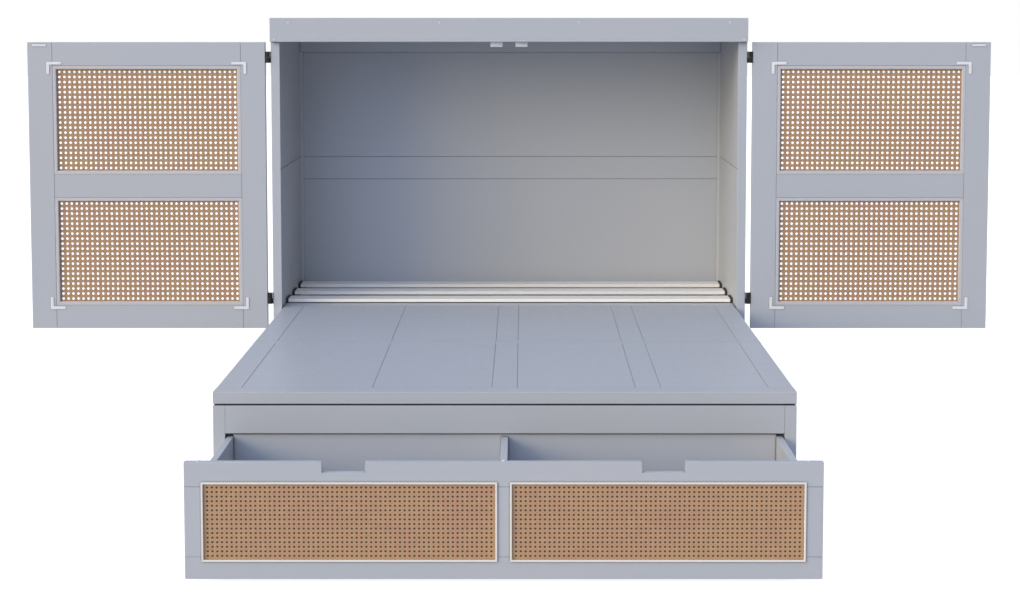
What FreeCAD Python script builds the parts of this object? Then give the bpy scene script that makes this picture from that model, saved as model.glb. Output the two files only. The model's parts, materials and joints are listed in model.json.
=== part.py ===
"""Cabinet bed: a queen-size bed that folds into a two-door cabinet.

The cabinet stands open. Its doors hang flat beside it, the two platform leaves lie out on a
rolling base, and the base's drawer is pulled out. Millimetres, +X right, +Y to the back, +Z up.
The origin is on the floor, at the middle of the whole object's width and depth.
"""
import FreeCAD, Part
import Sketcher
import os
import re

doc = FreeCAD.newDocument("CabinetBed")
sheet = doc.addObject("Spreadsheet::Sheet", "Sizes")

# ---- driving dimensions -------------------------------------------------------------------------

driving = {
    # cabinet shell
    "cabinetWidth": 1616, "cabinetHeight": 1417, "cabinetDepth": 605, "shellThick": 30,
    "backThick": 15, "fasciaHeight": 81, "fasciaThick": 24, "battenHeight": 51, "battenDepth": 30,
    "midRailBottom": 820, "midRailHeight": 83, "topRailHeight": 96, "topRailThick": 18,
    "cornerBatten": 10, "wallHoleRadius": 4, "wallHoleSpread": 1200,
    "easing": 1.2, "seamDepth": 3, "seamWidth": 4,
    # doors
    "doorMeetGap": 1.5, "doorTopGap": 1, "doorThick": 21, "doorBottom": 356, "doorGap": 1,
    "stileWidth": 84, "doorRail": 80, "beadWidth": 12.5, "beadInset": 0.5, "caneThick": 2,
    "knuckleClear": 0.5, "hingeHeight": 38, "hingeLeaf": 2, "hingeLeafWidth": 17, "knuckleRadius": 7,
    "hingePinRadius": 2.5, "hingeEndDistance": 74, "runningGap": 0.05, "knuckleGap": 0.3,
    "bracketLong": 51, "bracketShort": 42, "bracketWidth": 10, "bracketThick": 2,
    "bracketReach": 20, "bracketRise": 14, "strikeLength": 47, "strikeHeight": 7,
    "strikeThick": 2, "strikeInset": 17, "doorCaneColumns": 10, "doorCaneRows": 6,
    "caneOpenShare": 0.5,
    # platform
    "platformGap": 3, "platformReach": 1469, "sleepHeight": 427.6, "leafThick": 31.9,
    "pivotInset": 87, "pivotRadius": 5, "pivotDepth": 22, "pivotPlateThick": 2.5,
    "plateGap": 1, "pivotPlateHeight": 24, "foldGap": 0.6, "edgeStile": 68,
    "frontEndRail": 60, "foldEndRail": 20, "innerStile": 68, "leftSeam": 356, "rightSeam": 350,
    "middleShift": 1, "foldKnuckleRadius": 3.6, "foldHingeLength": 70, "foldHingeSpread": 600,
    "foldLeafThick": 1.5, "foldLeafWidth": 30, "foldPinRadius": 1.5, "foldPinDrop": 0.3,
    # slats
    "slatWidth": 80, "slatThick": 12, "slatBackGap": 39, "slatGap": 1.05, "slatRound": 4,
    "slatCount": 3, "capLength": 9, "capWall": 2.5, "bearerWidth": 30, "bearerHeight": 31,
    "bearerInset": 7,
    # rolling base
    "baseBackGap": 30, "padGap": 0.3, "baseBottom": 10, "postThick": 31.5, "drawerGap": 8.9,
    "baseBackThick": 18, "padThick": 4, "padWidth": 30, "padLength": 120, "wheelRadius": 20,
    "wheelWidth": 16, "wheelMortise": 20, "wheelInset": 55, "axleRadius": 4, "wheelRelief": 4,
    "runnerWidth": 30, "runnerHeight": 14,
    # drawer
    "drawerLap": 28, "drawerHeight": 299, "drawerBottom": 8, "drawerFaceThick": 20,
    "drawerTravel": 267, "drawerTopRail": 63, "drawerLowRail": 57, "drawerEndStile": 55,
    "drawerMidStile": 56, "boxGap": 3, "drawerBoxDepth": 294, "drawerSideThick": 18,
    "boxTopDrop": 1, "drawerBoxBottom": 30, "drawerPanelThick": 9, "drawerPanelRaise": 12,
    "notchSpread": 804, "notchWidth": 110, "notchDepth": 27, "notchSlope": 1,
    "panelReveal": 9, "frameBead": 3, "frameBeadThick": 4, "frameBeadLap": 2,
    "drawerCaneColumns": 16, "drawerCaneRows": 4,
    # small fittings
    "catchWidth": 41, "catchHeight": 17, "catchDepth": 26, "catchStart": 22,
}
for row, (alias, value) in enumerate(driving.items(), start=1):
    sheet.set("A%d" % row, alias)
    sheet.set("B%d" % row, str(value))
    sheet.setAlias("B%d" % row, alias)
doc.recompute()

# ---- places that several pieces share -----------------------------------------------------------

halfCabinet = "(cabinetWidth / 2)"
halfInside = "(cabinetWidth / 2 - shellThick)"
halfPlatform = "(%s - platformGap)" % halfInside
halfOpening = "(%s - postThick)" % halfPlatform
halfBox = "(%s - boxGap)" % halfOpening
halfDrawer = "(%s + drawerLap)" % halfPlatform
faceY = "((platformReach + drawerFaceThick + drawerTravel + frameBeadThick - cabinetDepth) / 2)"
backFaceY = "(%s + cabinetDepth - backThick)" % faceY
backY = "(%s + cabinetDepth)" % faceY
underTop = "(cabinetHeight - shellThick)"
doorTop = "(cabinetHeight - fasciaHeight - doorTopGap)"
hingeOffset = "(knuckleRadius + hingeLeaf + knuckleClear)"
hingeX = "(%s + %s)" % (halfCabinet, hingeOffset)
doorFaceY = "(%s - doorGap)" % faceY
doorBackY = "(%s + doorThick)" % doorFaceY
doorInnerX = "(%s + %s)" % (hingeX, hingeOffset)
doorOuterX = "(%s + %s - doorMeetGap)" % (doorInnerX, halfCabinet)
openingLeft = "(%s + stileWidth)" % doorInnerX
openingRight = "(%s - stileWidth)" % doorOuterX
openingHigh = "((%s - doorBottom - 3 * doorRail) / 2)" % doorTop
reachY = "(%s - platformReach)" % faceY
pivotY = "(%s + pivotInset)" % faceY
leafUnder = "(sleepHeight - leafThick)"
pivotZ = "(sleepHeight - leafThick / 2)"
leafEndY = "(%s + leafThick / 2)" % pivotY
foldY = "((%s + %s) / 2)" % (pivotY, reachY)
foldZ = "(%s - foldPinDrop)" % leafUnder
baseTop = "(%s - padGap - padThick)" % leafUnder
slatFront = "(pivotInset + leafThick / 2 + slatGap)"
slatPitch = ("((cabinetDepth - backThick - slatBackGap - %s - slatWidth - 2 * capWall)"
             " / (slatCount - 1))" % slatFront)
bearerFront = "(%s + bearerInset)" % slatFront
drawerFaceY = "(%s - drawerTravel - drawerFaceThick)" % reachY
drawerTop = "(drawerBottom + drawerHeight)"


def sized(text):
    """Point each size named in a formula at its cell."""
    return re.sub(r"[A-Za-z][A-Za-z0-9]*",
                  lambda word: "Sizes." + word.group() if word.group() in driving else word.group(), text)


def bind(item, **formulas):
    for name, text in formulas.items():
        item.setExpression(name.replace("_", "."), sized(str(text)))
    return item


def at(item, x, y, z):
    """Place a piece's corner or centre by three formulas."""
    for axis, text in zip("xyz", (x, y, z)):
        item.setExpression("Placement.Base." + axis, sized(str(text)))
    return item


def size(alias):
    return float(sheet.get(alias))


# ---- building blocks ----------------------------------------------------------------------------

def plane(body, role):
    return next(f for f in body.Origin.OriginFeatures if f.Role == role)


def outline(sketch, points, prefix=""):
    """Draw a closed outline in a sketch and hold every corner by formulas."""
    start = sketch.GeometryCount
    count = len(points)
    rough = [FreeCAD.Vector(10 + 5 * i, 7 * (i % 2) + 3 * i, 0) for i in range(count)]
    for i in range(count):
        sketch.addGeometry(Part.LineSegment(rough[i], rough[(i + 1) % count]))
    for i in range(count):
        sketch.addConstraint(Sketcher.Constraint("Coincident", start + i, 2,
                                                 start + (i + 1) % count, 1))
    for i, (across, up) in enumerate(points):
        for kind, text in (("DistanceX", across), ("DistanceY", up)):
            name = "%s%s%d" % (prefix, kind, i)
            place = sketch.addConstraint(Sketcher.Constraint(kind, -1, 1, start + i, 1, 1.0))
            sketch.renameConstraint(place, name)
            sketch.setExpression("Constraints." + name, sized(str(text)))


def sketched(body, role, name):
    sketch = body.newObject("Sketcher::SketchObject", name)
    sketch.AttachmentSupport = [(plane(body, role), "")]
    sketch.MapMode = "FlatFace"
    return sketch


def profile(points, length, role="XY_Plane", reverse=False):
    """A body padded from one closed outline. Points and length are formulas."""
    body = doc.addObject("PartDesign::Body", "Piece")
    sketch = sketched(body, role, "Outline")
    outline(sketch, points)
    pad = body.newObject("PartDesign::Pad", "Thickness")
    pad.Profile = sketch
    pad.Reversed = reverse
    bind(pad, Length=length)
    return body


def board(x0, x1, y0, y1, z0, z1, eased=True):
    """A sawn board between two corners, with its long edges eased."""
    wide, deep, high = ["(%s) - (%s)" % pair for pair in ((x1, x0), (y1, y0), (z1, z0))]
    body = profile([(0, 0), (wide, 0), (wide, deep), (0, deep)], high)
    at(body, x0, y0, z0)
    if eased:
        doc.recompute()
        pad = body.Tip
        longest = max(edge.Length for edge in pad.Shape.Edges)
        names = ["Edge%d" % (i + 1) for i, edge in enumerate(pad.Shape.Edges)
                 if abs(edge.Length - longest) < 0.01]
        chamfer = body.newObject("PartDesign::Chamfer", "EasedEdges")
        chamfer.Base = (pad, names)
        bind(chamfer, Size="easing")
        body.Tip = chamfer
    return body


def block(x0, x1, y0, y1, z0, z1):
    """A plain block, for cuts and small hardware."""
    item = doc.addObject("Part::Box", "Block")
    bind(item, Length="(%s) - (%s)" % (x1, x0), Width="(%s) - (%s)" % (y1, y0),
         Height="(%s) - (%s)" % (z1, z0))
    return at(item, x0, y0, z0)


def rod(x, y, z, radius, length, axis="z"):
    """A cylinder that starts at a point and runs along an axis."""
    item = doc.addObject("Part::Cylinder", "Rod")
    bind(item, Radius=radius, Height=length)
    turn = {"z": (FreeCAD.Vector(0, 0, 1), 0), "x": (FreeCAD.Vector(0, 1, 0), 90),
            "y": (FreeCAD.Vector(1, 0, 0), -90)}[axis]
    item.Placement = FreeCAD.Placement(FreeCAD.Vector(), FreeCAD.Rotation(*turn))
    return at(item, x, y, z)


def joined(*items):
    fuse = doc.addObject("Part::MultiFuse", "Joined")
    fuse.Shapes = list(items)
    return fuse


def cut(base, *tools):
    tool = tools[0] if len(tools) == 1 else joined(*tools)
    item = doc.addObject("Part::Cut", "CutOut")
    item.Base = base
    item.Tool = tool
    return item


def mirrored(item):
    """The same piece on the other side of the middle."""
    other = doc.addObject("Part::Mirroring", "OtherSide")
    other.Source = item
    other.Normal = FreeCAD.Vector(1, 0, 0)
    other.Base = FreeCAD.Vector(0, 0, 0)
    return other


nodes = []


def node(label, *pieces):
    """Name a finished sub-part. Several separate pieces of one kind share a name."""
    if len(pieces) == 1:
        item = pieces[0]
    else:
        item = doc.addObject("Part::Compound", "Group")
        item.Links = list(pieces)
    item.Label = label
    nodes.append(item)
    return item


def net(x0, x1, z0, z1, border, columns, rows, y):
    """A sheet of open cane webbing in the XZ plane, with a plain margin under its beads."""
    wide, high = "(%s) - (%s)" % (x1, x0), "(%s) - (%s)" % (z1, z0)
    pitchX = "((%s - 2 * %s) / %s)" % (wide, border, columns)
    pitchZ = "((%s - 2 * %s) / %s)" % (high, border, rows)
    wide, high = "(%s)" % wide, "(%s)" % high
    body = profile([(0, 0), (wide, 0), (wide, high), (0, high)], "caneThick", "XZ_Plane", True)
    edgeX = "(%s + %s * (1 - caneOpenShare) / 2)" % (border, pitchX)
    edgeZ = "(%s + %s * (1 - caneOpenShare) / 2)" % (border, pitchZ)
    farX = "(%s + %s * caneOpenShare)" % (edgeX, pitchX)
    farZ = "(%s + %s * caneOpenShare)" % (edgeZ, pitchZ)
    hole = sketched(body, "XZ_Plane", "Mesh")
    outline(hole, [(edgeX, edgeZ), (farX, edgeZ), (farX, farZ), (edgeX, farZ)])
    pocket = body.newObject("PartDesign::Pocket", "FirstHole")
    pocket.Profile = hole
    pocket.Reversed = False
    pocket.Type = "ThroughAll"
    pocket.Midplane = True
    doc.recompute()
    spread = body.newObject("PartDesign::MultiTransform", "Weave")
    across = doc.addObject("PartDesign::LinearPattern", "Across")
    across.Direction = (hole, ["H_Axis"])
    bind(across, Length="%s * (%s - 1)" % (pitchX, columns), Occurrences=columns)
    upwards = doc.addObject("PartDesign::LinearPattern", "Upwards")
    upwards.Direction = (hole, ["V_Axis"])
    bind(upwards, Length="%s * (%s - 1)" % (pitchZ, rows), Occurrences=rows)
    body.addObject(across)
    body.addObject(upwards)
    spread.Originals = [pocket]
    spread.Transformations = [across, upwards]
    body.Tip = spread
    return at(body, x0, y, z0)


def ring(x0, x1, z0, z1, width, y0, y1):
    """A mitred bead frame round a cane panel."""
    outer = block(x0, x1, y0, y1, z0, z1)
    inner = block("%s + %s" % (x0, width), "%s - %s" % (x1, width), "%s - 1" % y0, "%s + 1" % y1,
                  "%s + %s" % (z0, width), "%s - %s" % (z1, width))
    return cut(outer, inner)


# ---- cabinet ------------------------------------------------------------------------------------

def sidePanel():
    """The side board. A narrow seam crosses its inner face, level with the back's middle rail."""
    seamZ = "(midRailBottom + midRailHeight)"
    low, high = "(%s - seamWidth / 2)" % seamZ, "(%s + seamWidth / 2)" % seamZ
    body = profile([(0, 0), ("shellThick", 0), ("shellThick", underTop), (0, underTop), (0, high),
                    ("seamDepth", seamZ), (0, low)], "cabinetDepth", "XZ_Plane", True)
    return at(body, halfInside, faceY, 0)


right = sidePanel()
node("right_side_panel", right)
node("left_side_panel", mirrored(right))
node("top_panel", board("-" + halfCabinet, halfCabinet, faceY, backY, underTop, "cabinetHeight"))
node("top_fascia", board("-" + halfCabinet, halfCabinet, "%s - fasciaThick" % faceY, faceY,
                         "cabinetHeight - fasciaHeight", "cabinetHeight"))
battenZ = "(%s - battenHeight)" % underTop
node("front_top_batten", board("-" + halfInside, halfInside, faceY, "%s + battenDepth" % faceY,
                               battenZ, underTop))
midTop = "(midRailBottom + midRailHeight)"
node("back_lower_panel", board("-" + halfInside, halfInside, backFaceY, backY, 0, "midRailBottom"))
node("back_mid_rail", board("-" + halfInside, halfInside, backFaceY, backY, "midRailBottom", midTop))
fixings = [rod(x, "%s - topRailThick - 5" % backFaceY, "%s - topRailHeight / 2" % underTop,
               "wallHoleRadius", "topRailThick + backThick + 10", "y")
           for x in ("-wallHoleSpread / 2", "wallHoleSpread / 2")]
node("back_upper_panel", cut(board("-" + halfInside, halfInside, backFaceY, backY, midTop, underTop),
                             *fixings))
node("back_top_rail", cut(board("-" + halfInside, halfInside, "%s - topRailThick" % backFaceY,
                                backFaceY, "%s - topRailHeight" % underTop, underTop), *fixings))


def cornerBatten():
    """A small triangular strip in the corner of side and back."""
    body = profile([(0, 0), ("cornerBatten", "cornerBatten"), (0, "cornerBatten")],
                   "%s - topRailHeight - sleepHeight" % underTop)
    return body


strip = cornerBatten()
at(strip, "-" + halfInside, "%s - cornerBatten" % backFaceY, "sleepHeight")
node("back_corner_battens", strip, mirrored(strip))


# ---- slats over the folded mattress's bay -------------------------------------------------------

bearerZ = "(sleepHeight - bearerHeight)"
bearerY = "(%s + %s)" % (faceY, bearerFront)
bearer = board("%s - bearerWidth" % halfInside, halfInside, bearerY, backFaceY, bearerZ, "sleepHeight")
crossInset = "(%s - bearerWidth)" % halfInside
crossRail = board("-" + crossInset, crossInset, bearerY, "%s + bearerWidth" % bearerY,
                  bearerZ, "sleepHeight")
node("slat_bearers", bearer, mirrored(bearer))
node("slat_cross_rail", crossRail)


def slatProfile(grow):
    """A slat's section: flat, with its four long edges rounded off in short facets."""
    wide, thick = "(slatWidth + 2 * %s)" % grow, "(slatThick + 2 * %s)" % grow
    part = "(slatRound * 0.3)"
    return [(0, "slatRound"), (part, part), ("slatRound", 0), ("%s - slatRound" % wide, 0),
            ("%s - %s" % (wide, part), part), (wide, "slatRound"),
            (wide, "%s - slatRound" % thick), ("%s - %s" % (wide, part), "%s - %s" % (thick, part)),
            ("%s - slatRound" % wide, thick), ("slatRound", thick),
            (part, "%s - %s" % (thick, part)), (0, "%s - slatRound" % thick)]


slats, caps = [], []
for index in range(int(size("slatCount"))):
    slatY = "(%s + %s + %d * %s)" % (faceY, slatFront, index, slatPitch)
    length = "(2 * %s - 2 * capWall)" % halfInside
    slat = profile(slatProfile("0"), length, "YZ_Plane")
    slats.append(at(slat, "-%s + capWall" % halfInside, "%s + capWall" % slatY,
                    "sleepHeight + capWall"))
    sleeve = profile(slatProfile("capWall"), "capLength", "YZ_Plane")
    at(sleeve, "%s - capLength" % halfInside, slatY, "sleepHeight")
    pocket = block("%s - capLength - 1" % halfInside, "%s - capWall" % halfInside,
                   "%s + capWall" % slatY, "%s + capWall + slatWidth" % slatY,
                   "sleepHeight + capWall", "sleepHeight + capWall + slatThick")
    caps.append(cut(sleeve, pocket))
node("bed_slats", *slats)
node("slat_end_caps", *(caps + [mirrored(cap) for cap in caps]))


# ---- fittings on the cabinet --------------------------------------------------------------------

def magneticCatch():
    """A push-to-close catch: a white case with a small steel-faced nose."""
    case = block("catchStart", "catchStart + catchWidth", "%s + 2" % faceY,
                 "%s + 2 + catchDepth" % faceY, "%s - catchHeight" % battenZ, battenZ)
    nose = block("catchStart + catchWidth * 0.25", "catchStart + catchWidth * 0.75",
                 "%s + 0.5" % faceY, "%s + 2" % faceY, "%s - catchHeight * 0.8" % battenZ,
                 "%s - catchHeight * 0.25" % battenZ)
    return joined(case, nose)


catch = magneticCatch()
node("magnetic_catches", catch, mirrored(catch))

hingeLows = ["(doorBottom + hingeEndDistance)", "(%s - hingeEndDistance - hingeHeight)" % doorTop]
halfHinge = "(hingeHeight / 2)"


def cabinetHingeLeaf(low):
    """The fixed leaf of a lift-off hinge: a plate on the side panel, the lower knuckle and the pin."""
    plate = block(halfCabinet, "%s + hingeLeaf" % halfCabinet, doorFaceY,
                  "%s + hingeLeafWidth" % doorFaceY, low, "%s + hingeHeight" % low)
    tall = "(%s - knuckleGap)" % halfHinge
    barrel = rod(hingeX, doorFaceY, low, "knuckleRadius", tall)
    web = block("%s + hingeLeaf / 2" % halfCabinet, hingeX, doorFaceY, "%s + hingeLeaf" % doorFaceY,
                low, "%s + %s" % (low, tall))
    return joined(plate, barrel, web, rod(hingeX, doorFaceY, low, "hingePinRadius", "hingeHeight"))


def doorHingeLeaf(low):
    """The moving leaf: a plate on the door's edge and the upper knuckle, which sits over the pin."""
    plate = block("%s - hingeLeaf" % doorInnerX, doorInnerX, doorFaceY,
                  "%s + hingeLeafWidth" % doorFaceY, low, "%s + hingeHeight" % low)
    start = "(%s + %s)" % (low, halfHinge)
    barrel = rod(hingeX, doorFaceY, start, "knuckleRadius", halfHinge)
    web = block(hingeX, "%s - hingeLeaf / 2" % doorInnerX, doorFaceY, "%s + hingeLeaf" % doorFaceY,
                start, "%s + %s" % (start, halfHinge))
    bore = rod(hingeX, doorFaceY, "%s - 1" % start, "hingePinRadius + runningGap", "%s + 2" % halfHinge)
    return joined(plate, cut(joined(barrel, web), bore))


fixedLeaves = [cabinetHingeLeaf(low) for low in hingeLows]
node("cabinet_hinge_leaves", *(fixedLeaves + [mirrored(leaf) for leaf in fixedLeaves]))


def pivotPlate():
    """The plate and stub that carry the rear leaf's end, screwed to the side panel."""
    halfPlate = "(%s - plateGap - pivotInset)" % bearerFront
    plate = block("%s - pivotPlateThick" % halfInside, halfInside, "%s - %s" % (pivotY, halfPlate),
                  "%s + %s" % (pivotY, halfPlate), "%s - pivotPlateHeight / 2" % pivotZ,
                  "%s + pivotPlateHeight / 2" % pivotZ)
    stub = rod("%s - pivotPlateThick - pivotDepth" % halfInside, pivotY, pivotZ, "pivotRadius",
               "pivotDepth + pivotPlateThick", "x")
    return joined(plate, stub)


pivot = pivotPlate()
node("platform_pivots", pivot, mirrored(pivot))


# ---- doors --------------------------------------------------------------------------------------

def cornerBracket(cornerX, cornerZ, flipX, flipZ):
    """An L of flat strip on the door's inner face, at one corner of the cane field."""
    body = profile([(0, 0), ("bracketLong", 0), ("bracketLong", "bracketWidth"),
                    ("bracketWidth", "bracketWidth"), ("bracketWidth", "bracketShort"),
                    (0, "bracketShort")], "bracketThick", "XZ_Plane")
    if flipX:
        body = flip(body, (1, 0, 0))
    if flipZ:
        body = flip(body, (0, 0, 1))
    holder = doc.addObject("Part::Compound", "Bracket")
    holder.Links = [body]
    return at(holder, cornerX, doorFaceY, cornerZ)


def flip(item, normal):
    other = doc.addObject("Part::Mirroring", "Flipped")
    other.Source = item
    other.Normal = FreeCAD.Vector(*normal)
    other.Base = FreeCAD.Vector(0, 0, 0)
    return other


def door():
    """The right door, open flat beside the cabinet. Returns its pieces by node name."""
    pieces = {}
    pieces["stiles"] = [
        board(doorInnerX, openingLeft, doorFaceY, doorBackY, "doorBottom", doorTop),
        board(openingRight, doorOuterX, doorFaceY, doorBackY, "doorBottom", doorTop)]
    lowRailTop = "(doorBottom + doorRail)"
    midLow = "(%s + %s)" % (lowRailTop, openingHigh)
    midHigh = "(%s + doorRail)" % midLow
    topLow = "(%s - doorRail)" % doorTop
    pieces["end_rails"] = [
        board(openingLeft, openingRight, doorFaceY, doorBackY, "doorBottom", lowRailTop),
        board(openingLeft, openingRight, doorFaceY, doorBackY, topLow, doorTop)]
    pieces["mid_rail"] = [board(openingLeft, openingRight, doorFaceY, doorBackY, midLow, midHigh)]
    beads, canes = [], []
    caneY = "(%s + (doorThick - caneThick) / 2)" % doorFaceY
    for low, high in ((lowRailTop, midLow), (midHigh, topLow)):
        canes.append(net(openingLeft, openingRight, low, high, "beadWidth",
                         "doorCaneColumns", "doorCaneRows", caneY))
        beads.append(ring(openingLeft, openingRight, low, high, "beadWidth",
                          "(%s + beadInset)" % doorFaceY, caneY))
        beads.append(ring(openingLeft, openingRight, low, high, "beadWidth",
                          "(%s + caneThick)" % caneY, "(%s - beadInset)" % doorBackY))
    pieces["cane_panels"] = canes
    pieces["cane_beads"] = beads
    left, far = "(%s - bracketReach)" % openingLeft, "(%s + bracketReach)" % openingRight
    low, high = "(%s - bracketRise)" % lowRailTop, "(%s + bracketRise)" % topLow
    pieces["corner_brackets"] = [cornerBracket(left, low, False, False),
                                 cornerBracket(far, low, True, False),
                                 cornerBracket(left, high, False, True),
                                 cornerBracket(far, high, True, True)]
    strikeRight = "(%s - strikeInset)" % doorOuterX
    strikeTop = "(%s - strikeHeight)" % doorTop
    pieces["strike_plate"] = [block("%s - strikeLength" % strikeRight, strikeRight,
                                    "%s - strikeThick" % doorFaceY, doorFaceY,
                                    "%s - strikeHeight" % strikeTop, strikeTop)]
    pieces["hinge_leaves"] = [doorHingeLeaf(low) for low in hingeLows]
    return pieces


for name, pieces in door().items():
    node("right_door_" + name, *pieces)
    node("left_door_" + name, *[mirrored(piece) for piece in pieces])


# ---- platform: two leaves that fold at their underside ------------------------------------------

def leafPieces(near, far, foldAtNear):
    """One leaf's frame and boards between two ends. near is towards the drawer."""
    nearRail = "foldEndRail" if foldAtNear else "frontEndRail"
    farRail = "frontEndRail" if foldAtNear else "foldEndRail"
    low, high = "(%s + %s)" % (near, nearRail), "(%s - %s)" % (far, farRail)
    z = (leafUnder, "sleepHeight")
    frame = [board("-" + halfPlatform, halfPlatform, near, low, *z),
             board("-" + halfPlatform, halfPlatform, high, far, *z),
             board("-" + halfPlatform, "-%s + edgeStile" % halfPlatform, low, high, *z),
             board("-innerStile / 2 - middleShift", "innerStile / 2 - middleShift", low, high, *z),
             board("rightSeam", "rightSeam + innerStile + middleShift", low, high, *z),
             board("%s - edgeStile" % halfPlatform, halfPlatform, low, high, *z)]
    boards = [board("-%s + edgeStile" % halfPlatform, "-leftSeam", low, high, *z),
              board("-leftSeam", "-innerStile / 2 - middleShift", low, high, *z),
              board("innerStile / 2 - middleShift", "rightSeam", low, high, *z),
              board("rightSeam + innerStile + middleShift", "%s - edgeStile" % halfPlatform,
                    low, high, *z)]
    return frame, boards


foldBack, foldFront = "(%s + foldGap / 2)" % foldY, "(%s - foldGap / 2)" % foldY
foldPlaces = ["(-foldHingeSpread - foldHingeLength / 2)", "(-foldHingeLength / 2)",
              "(foldHingeSpread - foldHingeLength / 2)"]
notches = [block("%s - 1" % start, "%s + foldHingeLength + 1" % start,
                 "%s - foldKnuckleRadius - 1" % foldY, "%s + foldKnuckleRadius + 1" % foldY,
                 "%s - 5" % leafUnder, "%s + foldKnuckleRadius + 0.7" % foldZ)
           for start in foldPlaces]
recesses = [block("%s - 1" % start, "%s + foldHingeLength + 1" % start,
                  "%s - foldLeafWidth - 1" % foldY, "%s + foldLeafWidth + 1" % foldY,
                  "%s - 5" % leafUnder, "%s + foldLeafThick" % leafUnder)
            for start in foldPlaces]
bore = rod("%s - pivotDepth - 4" % halfPlatform, pivotY, pivotZ, "pivotRadius + runningGap",
           "pivotDepth + 8", "x")

rearFrame, rearBoards = leafPieces(foldBack, leafEndY, True)
frontFrame, frontBoards = leafPieces(reachY, foldFront, False)
relief = joined(*(notches + recesses))
rearFrame[0] = cut(rearFrame[0], relief)
frontFrame[1] = cut(frontFrame[1], relief)
roundOff = cut(block("-%s - 1" % halfPlatform, "%s + 1" % halfPlatform, pivotY, "%s + 1" % leafEndY,
                     "%s - 1" % leafUnder, pivotZ),
               rod("-%s - 2" % halfPlatform, pivotY, pivotZ, "leafThick / 2",
                   "2 * %s + 4" % halfPlatform, "x"))
rearFrame[1] = cut(rearFrame[1], bore, mirrored(bore), roundOff)
rearBoards = [cut(piece, relief) for piece in rearBoards]
frontBoards = [cut(piece, relief) for piece in frontBoards]
for place in (2, 3, 4, 5):
    rearFrame[place] = cut(rearFrame[place], relief)
    frontFrame[place] = cut(frontFrame[place], relief)
node("rear_leaf_frame", *rearFrame)
node("rear_leaf_boards", *rearBoards)
node("front_leaf_frame", *frontFrame)
node("front_leaf_boards", *frontBoards)


def foldLeaf(start, rear):
    """Half of a fold hinge, let into the leaf's underside. The rear half holds the pin."""
    part, end = "(foldHingeLength / 2)", "(%s + foldHingeLength)" % start
    clear = "(foldKnuckleRadius + knuckleGap)"
    low, high = "(%s - foldLeafWidth)" % foldZ, "(%s + foldLeafWidth)" % foldZ
    if rear:
        plate = block(start, end, foldY, "%s + foldLeafWidth" % foldY, leafUnder,
                      "%s + foldLeafThick" % leafUnder)
        gap = block("%s + %s - knuckleGap" % (start, part), "%s + 1" % end,
                    "%s - 1" % foldY, "%s + %s" % (foldY, clear), low, high)
        barrel = rod(start, foldY, foldZ, "foldKnuckleRadius", "%s - knuckleGap" % part, "x")
        pin = rod(start, foldY, foldZ, "foldPinRadius", "foldHingeLength", "x")
        return joined(cut(plate, gap), barrel, pin)
    plate = block(start, end, "%s - foldLeafWidth" % foldY, foldY, leafUnder,
                  "%s + foldLeafThick" % leafUnder)
    gap = block("%s - 1" % start, "%s + %s" % (start, part), "%s - %s" % (foldY, clear),
                "%s + 1" % foldY, low, high)
    barrel = rod("%s + %s" % (start, part), foldY, foldZ, "foldKnuckleRadius", part, "x")
    sleeve = rod("%s + %s - 1" % (start, part), foldY, foldZ, "foldPinRadius + runningGap",
                 "%s + 2" % part, "x")
    return cut(joined(cut(plate, gap), barrel), sleeve)


node("rear_fold_hinges", *[foldLeaf(start, True) for start in foldPlaces])
node("front_fold_hinges", *[foldLeaf(start, False) for start in foldPlaces])


# ---- rolling base -------------------------------------------------------------------------------

baseBack = "(%s + cabinetDepth - backThick - baseBackGap)" % reachY
wheelX = "(%s - postThick / 2)" % halfPlatform
wheelYs = ["(%s + wheelInset)" % reachY, "(%s - wheelInset)" % baseBack]


def baseSide():
    """A side board with a mortise from below for each wheel, and a bore for each axle."""
    side = board(halfOpening, halfPlatform, reachY, baseBack, "baseBottom", baseTop)
    tools = []
    for y in wheelYs:
        tools.append(block("%s - wheelMortise / 2" % wheelX, "%s + wheelMortise / 2" % wheelX,
                           "%s - wheelRadius - wheelRelief" % y, "%s + wheelRadius + wheelRelief" % y,
                           "baseBottom - 1", "2 * wheelRadius + wheelRelief"))
        tools.append(rod("%s - 1" % halfOpening, y, "wheelRadius", "axleRadius + runningGap",
                         "%s - %s + 1" % (wheelX, halfOpening), "x"))
    return cut(side, *tools)


side = baseSide()
node("base_sides", side, mirrored(side))
node("base_front_rail", board("-" + halfOpening, halfOpening, reachY, "%s + postThick" % reachY,
                              "%s + drawerGap" % drawerTop, baseTop))
node("base_back_panel", board("-" + halfOpening, halfOpening, "%s - baseBackThick" % baseBack,
                              baseBack, "baseBottom", baseTop))
pads = []
for y in ("%s + 30" % reachY, "%s - 30 - padLength" % baseBack):
    pads.append(block("%s - padWidth" % halfPlatform, halfPlatform, y, "%s + padLength" % y,
                      baseTop, "%s + padThick" % baseTop))
node("base_support_pads", *(pads + [mirrored(pad) for pad in pads]))
runnerTop = "(drawerBoxBottom - 0.3)"
runner = board("%s - runnerWidth" % halfOpening, halfOpening, reachY,
               "%s - baseBackThick" % baseBack, "%s - runnerHeight" % runnerTop, runnerTop)
node("drawer_runners", runner, mirrored(runner))
axleLength = "((postThick + wheelMortise) / 2)"
axles = [rod(halfOpening, y, "wheelRadius", "axleRadius", axleLength, "x") for y in wheelYs]
node("wheel_axles", *(axles + [mirrored(axle) for axle in axles]))


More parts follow.
